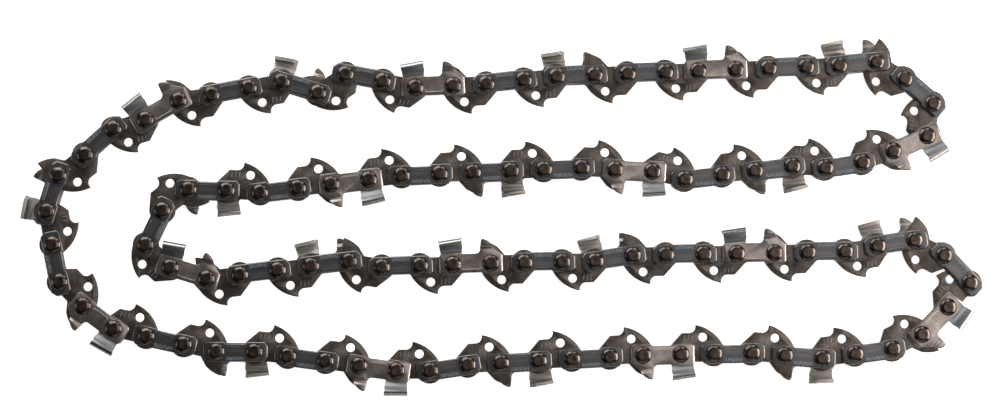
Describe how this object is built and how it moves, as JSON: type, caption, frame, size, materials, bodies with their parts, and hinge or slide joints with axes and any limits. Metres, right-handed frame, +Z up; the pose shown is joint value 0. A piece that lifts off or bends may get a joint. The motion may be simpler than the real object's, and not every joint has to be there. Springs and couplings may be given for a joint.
{
  "type": "chainsaw chain loop",
  "caption": "Closed loop of saw chain lying on its side in folded runs: hooked drive links, tie straps and left and right cutters riveted together.",
  "frame": {"origin": "under the middle of the folded loop, on the surface that it lies on", "axes": "+X along the runs to the picture's right, +Y to the picture's top edge, +Z up, along the rivets"},
  "size_m": [0.2522, 0.094, 0.0066],
  "materials": {
    "drive_link_steel": "dark brown-black oxide, stamped",
    "tie_strap_steel": "blue-black tempered, bright bevelled edges",
    "cutter_steel": "satin brownish grey, hard chrome plated tab",
    "rivet_steel": "brown-black oiled, flat headed"
  },
  "bodies": {
    "top_run_left_link": {"top_run_left_link": "drive_link_steel"},
    "top_run_right_link": {"top_run_right_link": "drive_link_steel"},
    "second_run_right_link": {"second_run_right_link": "drive_link_steel"},
    "second_run_left_link": {"second_run_left_link": "drive_link_steel"},
    "third_run_left_link": {"third_run_left_link": "drive_link_steel"},
    "third_run_right_link": {"third_run_right_link": "drive_link_steel"},
    "bottom_run_right_link": {"bottom_run_right_link": "drive_link_steel"},
    "bottom_run_left_link": {"bottom_run_left_link": "drive_link_steel"},
    "top_run": {"top_run_tie_straps": "tie_strap_steel", "top_run_rivets": "rivet_steel", "top_run_plain_links": "drive_link_steel", "top_run_left_cutters": "cutter_steel", "top_run_bumper_links": "drive_link_steel", "top_run_right_cutters": "cutter_steel"},
    "upper_bend": {"upper_bend_tie_straps": "tie_strap_steel", "upper_bend_rivets": "rivet_steel", "upper_bend_plain_links": "drive_link_steel", "upper_bend_left_cutters": "cutter_steel", "upper_bend_bumper_links": "drive_link_steel", "upper_bend_right_cutters": "cutter_steel"},
    "second_run": {"second_run_tie_straps": "tie_strap_steel", "second_run_rivets": "rivet_steel", "second_run_plain_links": "drive_link_steel", "second_run_right_cutters": "cutter_steel"},
    "inner_bend": {"inner_bend_tie_straps": "tie_strap_steel", "inner_bend_rivets": "rivet_steel", "inner_bend_plain_links": "drive_link_steel", "inner_bend_left_cutters": "cutter_steel", "inner_bend_bumper_links": "drive_link_steel", "inner_bend_right_cutters": "cutter_steel"},
    "third_run": {"third_run_left_cutters": "cutter_steel", "third_run_tie_straps": "tie_strap_steel", "third_run_rivets": "rivet_steel", "third_run_bumper_links": "drive_link_steel", "third_run_plain_links": "drive_link_steel", "third_run_right_cutters": "cutter_steel"},
    "lower_bend": {"lower_bend_right_cutters": "cutter_steel", "lower_bend_tie_straps": "tie_strap_steel", "lower_bend_rivets": "rivet_steel", "lower_bend_bumper_links": "drive_link_steel", "lower_bend_plain_links": "drive_link_steel", "lower_bend_left_cutters": "cutter_steel"},
    "bottom_run": {"bottom_run_right_cutters": "cutter_steel", "bottom_run_tie_straps": "tie_strap_steel", "bottom_run_rivets": "rivet_steel", "bottom_run_bumper_links": "drive_link_steel"},
    "left_bend": {"left_bend_left_cutters": "cutter_steel", "left_bend_tie_straps": "tie_strap_steel", "left_bend_rivets": "rivet_steel", "left_bend_bumper_links": "drive_link_steel", "left_bend_plain_links": "drive_link_steel", "left_bend_right_cutters": "cutter_steel"}
  },
  "joints": [
    {"name": "upper_bend_sway", "type": "hinge", "parent": "top_run", "child": "top_run_right_link", "pos_m": [0.06113, 0.03862, 0.0033], "axis": [0, 0, 1], "range_deg": [-15, 15]},
    {"name": "upper_bend_top_pivot", "type": "hinge", "parent": "top_run_right_link", "child": "upper_bend", "pos_m": [0.06983, 0.03897, 0.0033], "axis": [0, 0, 1], "range_deg": [-15, 15]},
    {"name": "upper_bend_bottom_pivot", "type": "hinge", "parent": "upper_bend", "child": "second_run_right_link", "pos_m": [-0.00813, 0.01145, 0.0033], "axis": [0, 0, 1], "range_deg": [-15, 15]},
    {"name": "second_run_right_pivot", "type": "hinge", "parent": "second_run_right_link", "child": "second_run", "pos_m": [-0.01683, 0.01108, 0.0033], "axis": [0, 0, 1], "range_deg": [-15, 15]},
    {"name": "inner_bend_sway", "type": "hinge", "parent": "second_run", "child": "second_run_left_link", "pos_m": [-0.04525, 0.00839, 0.0033], "axis": [0, 0, 1], "range_deg": [-15, 15]},
    {"name": "inner_bend_top_pivot", "type": "hinge", "parent": "second_run_left_link", "child": "inner_bend", "pos_m": [-0.0539, 0.00734, 0.0033], "axis": [0, 0, 1], "range_deg": [-15, 15]},
    {"name": "inner_bend_bottom_pivot", "type": "hinge", "parent": "inner_bend", "child": "third_run_left_link", "pos_m": [-0.05905, -0.01413, 0.0033], "axis": [0, 0, 1], "range_deg": [-15, 15]},
    {"name": "third_run_left_pivot", "type": "hinge", "parent": "third_run_left_link", "child": "third_run", "pos_m": [-0.05041, -0.01308, 0.0033], "axis": [0, 0, 1], "range_deg": [-15, 15]},
    {"name": "left_bend_sway", "type": "hinge", "parent": "top_run", "child": "top_run_left_link", "pos_m": [-0.00458, 0.03471, 0.0033], "axis": [0, 0, 1], "range_deg": [-15, 15]},
    {"name": "left_bend_top_pivot", "type": "hinge", "parent": "top_run_left_link", "child": "left_bend", "pos_m": [-0.01328, 0.03424, 0.0033], "axis": [0, 0, 1], "range_deg": [-15, 15]},
    {"name": "left_bend_bottom_pivot", "type": "hinge", "parent": "left_bend", "child": "bottom_run_left_link", "pos_m": [0.00904, -0.03792, 0.0033], "axis": [0, 0, 1], "range_deg": [-15, 15]},
    {"name": "bottom_run_left_pivot", "type": "hinge", "parent": "bottom_run_left_link", "child": "bottom_run", "pos_m": [0.01774, -0.03744, 0.0033], "axis": [0, 0, 1], "range_deg": [-15, 15]},
    {"name": "lower_bend_sway", "type": "hinge", "parent": "bottom_run", "child": "bottom_run_right_link", "pos_m": [0.04628, -0.03625, 0.0033], "axis": [0, 0, 1], "range_deg": [-15, 15]},
    {"name": "lower_bend_bottom_pivot", "type": "hinge", "parent": "bottom_run_right_link", "child": "lower_bend", "pos_m": [0.05499, -0.03609, 0.0033], "axis": [0, 0, 1], "range_deg": [-15, 15]},
    {"name": "lower_bend_top_pivot", "type": "hinge", "parent": "lower_bend", "child": "third_run_right_link", "pos_m": [0.06109, -0.00988, 0.0033], "axis": [0, 0, 1], "range_deg": [-15, 15]}
  ],
  "couplings": [
    {"joint": "upper_bend_top_pivot", "follows": "upper_bend_sway", "ratio": -1},
    {"joint": "upper_bend_bottom_pivot", "follows": "upper_bend_sway", "ratio": 1},
    {"joint": "second_run_right_pivot", "follows": "upper_bend_sway", "ratio": -1},
    {"joint": "inner_bend_top_pivot", "follows": "inner_bend_sway", "ratio": -1},
    {"joint": "inner_bend_bottom_pivot", "follows": "inner_bend_sway", "ratio": 1},
    {"joint": "third_run_left_pivot", "follows": "inner_bend_sway", "ratio": -1},
    {"joint": "left_bend_top_pivot", "follows": "left_bend_sway", "ratio": -1},
    {"joint": "left_bend_bottom_pivot", "follows": "left_bend_sway", "ratio": 1},
    {"joint": "bottom_run_left_pivot", "follows": "left_bend_sway", "ratio": -1},
    {"joint": "lower_bend_bottom_pivot", "follows": "lower_bend_sway", "ratio": -1},
    {"joint": "lower_bend_top_pivot", "follows": "lower_bend_sway", "ratio": 1}
  ]
}
